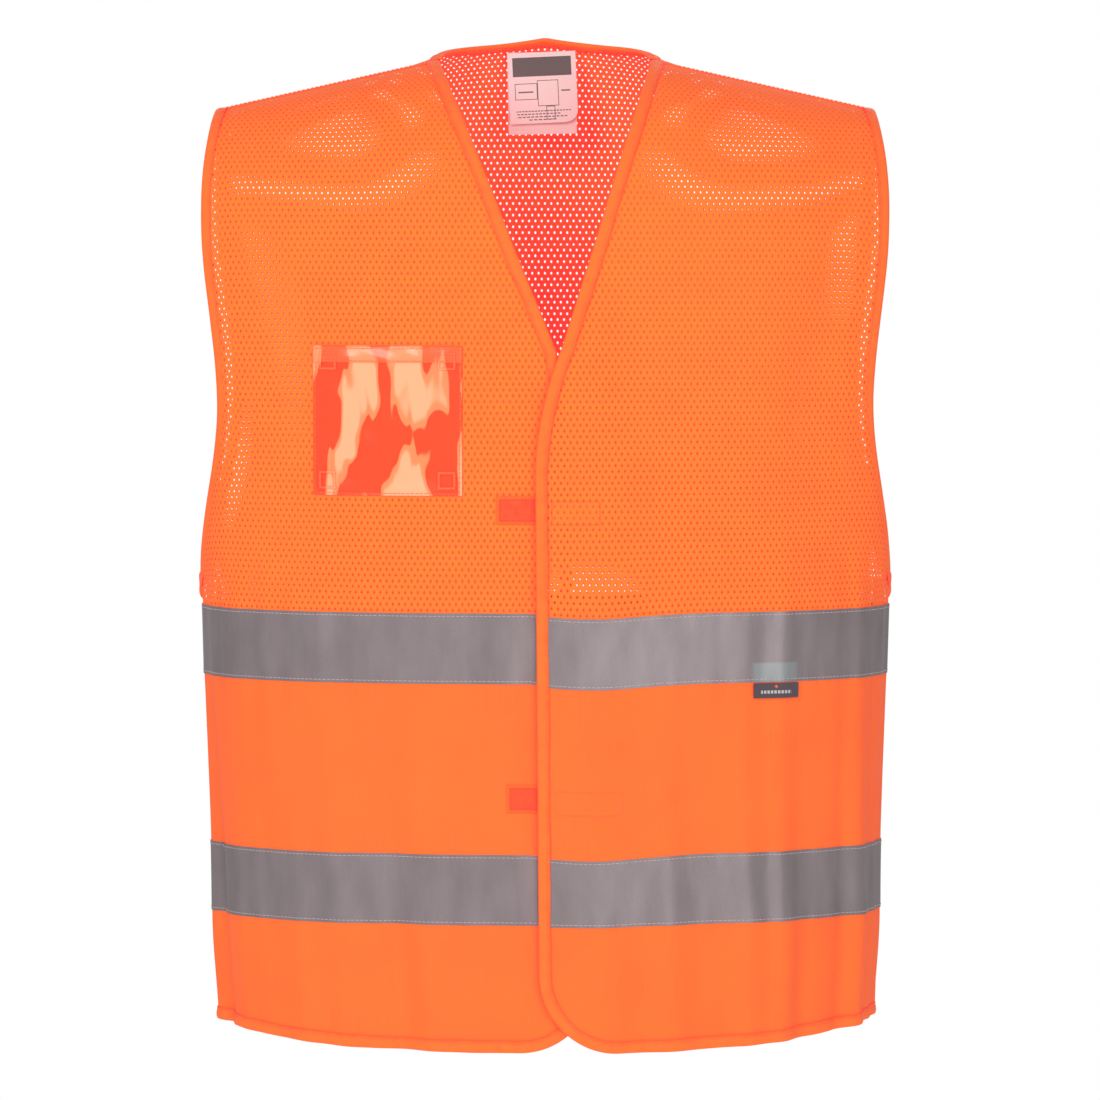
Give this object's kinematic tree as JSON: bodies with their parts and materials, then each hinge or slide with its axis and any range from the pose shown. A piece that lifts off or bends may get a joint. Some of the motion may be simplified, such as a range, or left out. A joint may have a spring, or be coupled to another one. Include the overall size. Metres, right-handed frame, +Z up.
{
  "type": "high visibility vest",
  "caption": "Sleeveless work vest in fluorescent orange with a mesh top, reflective tape rings, bound edges, a hook-and-loop front and a clear badge pocket.",
  "frame": {"origin": "between the shoulders, level with the neck ends of the shoulder seams, midway from front to back, where a wearer or a hanger holds the vest", "axes": "+Z up, the front faces -Y, +X is the wearer's left"},
  "size_m": [0.5008, 0.2589, 0.7241],
  "materials": {
    "mesh_fabric": "matte",
    "woven_fabric": "matte",
    "binding_tape": "matte",
    "reflective_tape": "satin",
    "loop_pile": "matte",
    "clear_vinyl": "gloss",
    "label_satin": "satin",
    "tab_tape": "matte"
  },
  "bodies": {
    "body": {"back_mesh": "mesh_fabric", "back_lower": "woven_fabric", "back_upper_tape": "reflective_tape", "back_lower_tape": "reflective_tape", "front_left_mesh_side": "mesh_fabric", "front_left_lower_side": "woven_fabric", "front_left_upper_tape_side": "reflective_tape", "front_left_lower_tape_side": "reflective_tape", "front_right_mesh_side": "mesh_fabric", "front_right_lower_side": "woven_fabric", "front_right_upper_tape_side": "reflective_tape", "front_right_lower_tape_side": "reflective_tape", "neck_binding": "binding_tape", "hem_binding": "binding_tape", "armhole_binding_left": "binding_tape", "armhole_binding_right": "binding_tape", "id_pocket_window": "clear_vinyl", "id_pocket_hem": "clear_vinyl"},
    "front_left": {"front_left_mesh_centre": "mesh_fabric", "front_left_lower_centre": "woven_fabric", "front_left_upper_tape_centre": "reflective_tape", "front_left_lower_tape_centre": "reflective_tape", "front_left_binding": "binding_tape", "hook_patch_upper": "loop_pile", "hook_patch_lower": "loop_pile"},
    "front_right": {"front_right_mesh_centre": "mesh_fabric", "front_right_lower_centre": "woven_fabric", "front_right_upper_tape_centre": "reflective_tape", "front_right_lower_tape_centre": "reflective_tape", "front_right_binding": "binding_tape", "loop_patch_upper": "loop_pile", "loop_patch_lower": "loop_pile"},
    "neck_label": {"neck_label_front_leaf": "label_satin", "neck_label_back_leaf": "label_satin"},
    "side_tab": {"side_tab": "tab_tape"}
  },
  "joints": [
    {"name": "front_left_open", "type": "hinge", "parent": "body", "child": "front_left", "pos_m": [0.0338, -0.12729, -0.13999], "axis": [-0.206, -0.0318, 0.978], "range_deg": [0, 100]},
    {"name": "front_right_open", "type": "hinge", "parent": "body", "child": "front_right", "pos_m": [-0.02845, -0.12431, -0.12997], "axis": [-0.1344, 0.0098, -0.9909], "range_deg": [0, 60]},
    {"name": "neck_label_flip", "type": "hinge", "parent": "body", "child": "neck_label", "pos_m": [-0.003, 0.0719, 0.009], "axis": [-1, 0, 0], "range_deg": [0, 95]},
    {"name": "side_tab_flip", "type": "hinge", "parent": "body", "child": "side_tab", "pos_m": [0.1636, -0.1005, -0.4413], "axis": [-0.933, -0.36, 0], "range_deg": [0, 90]}
  ],
  "couplings": [
    {"joint": "front_right_open", "follows": "front_left_open", "ratio": 0.6}
  ]
}
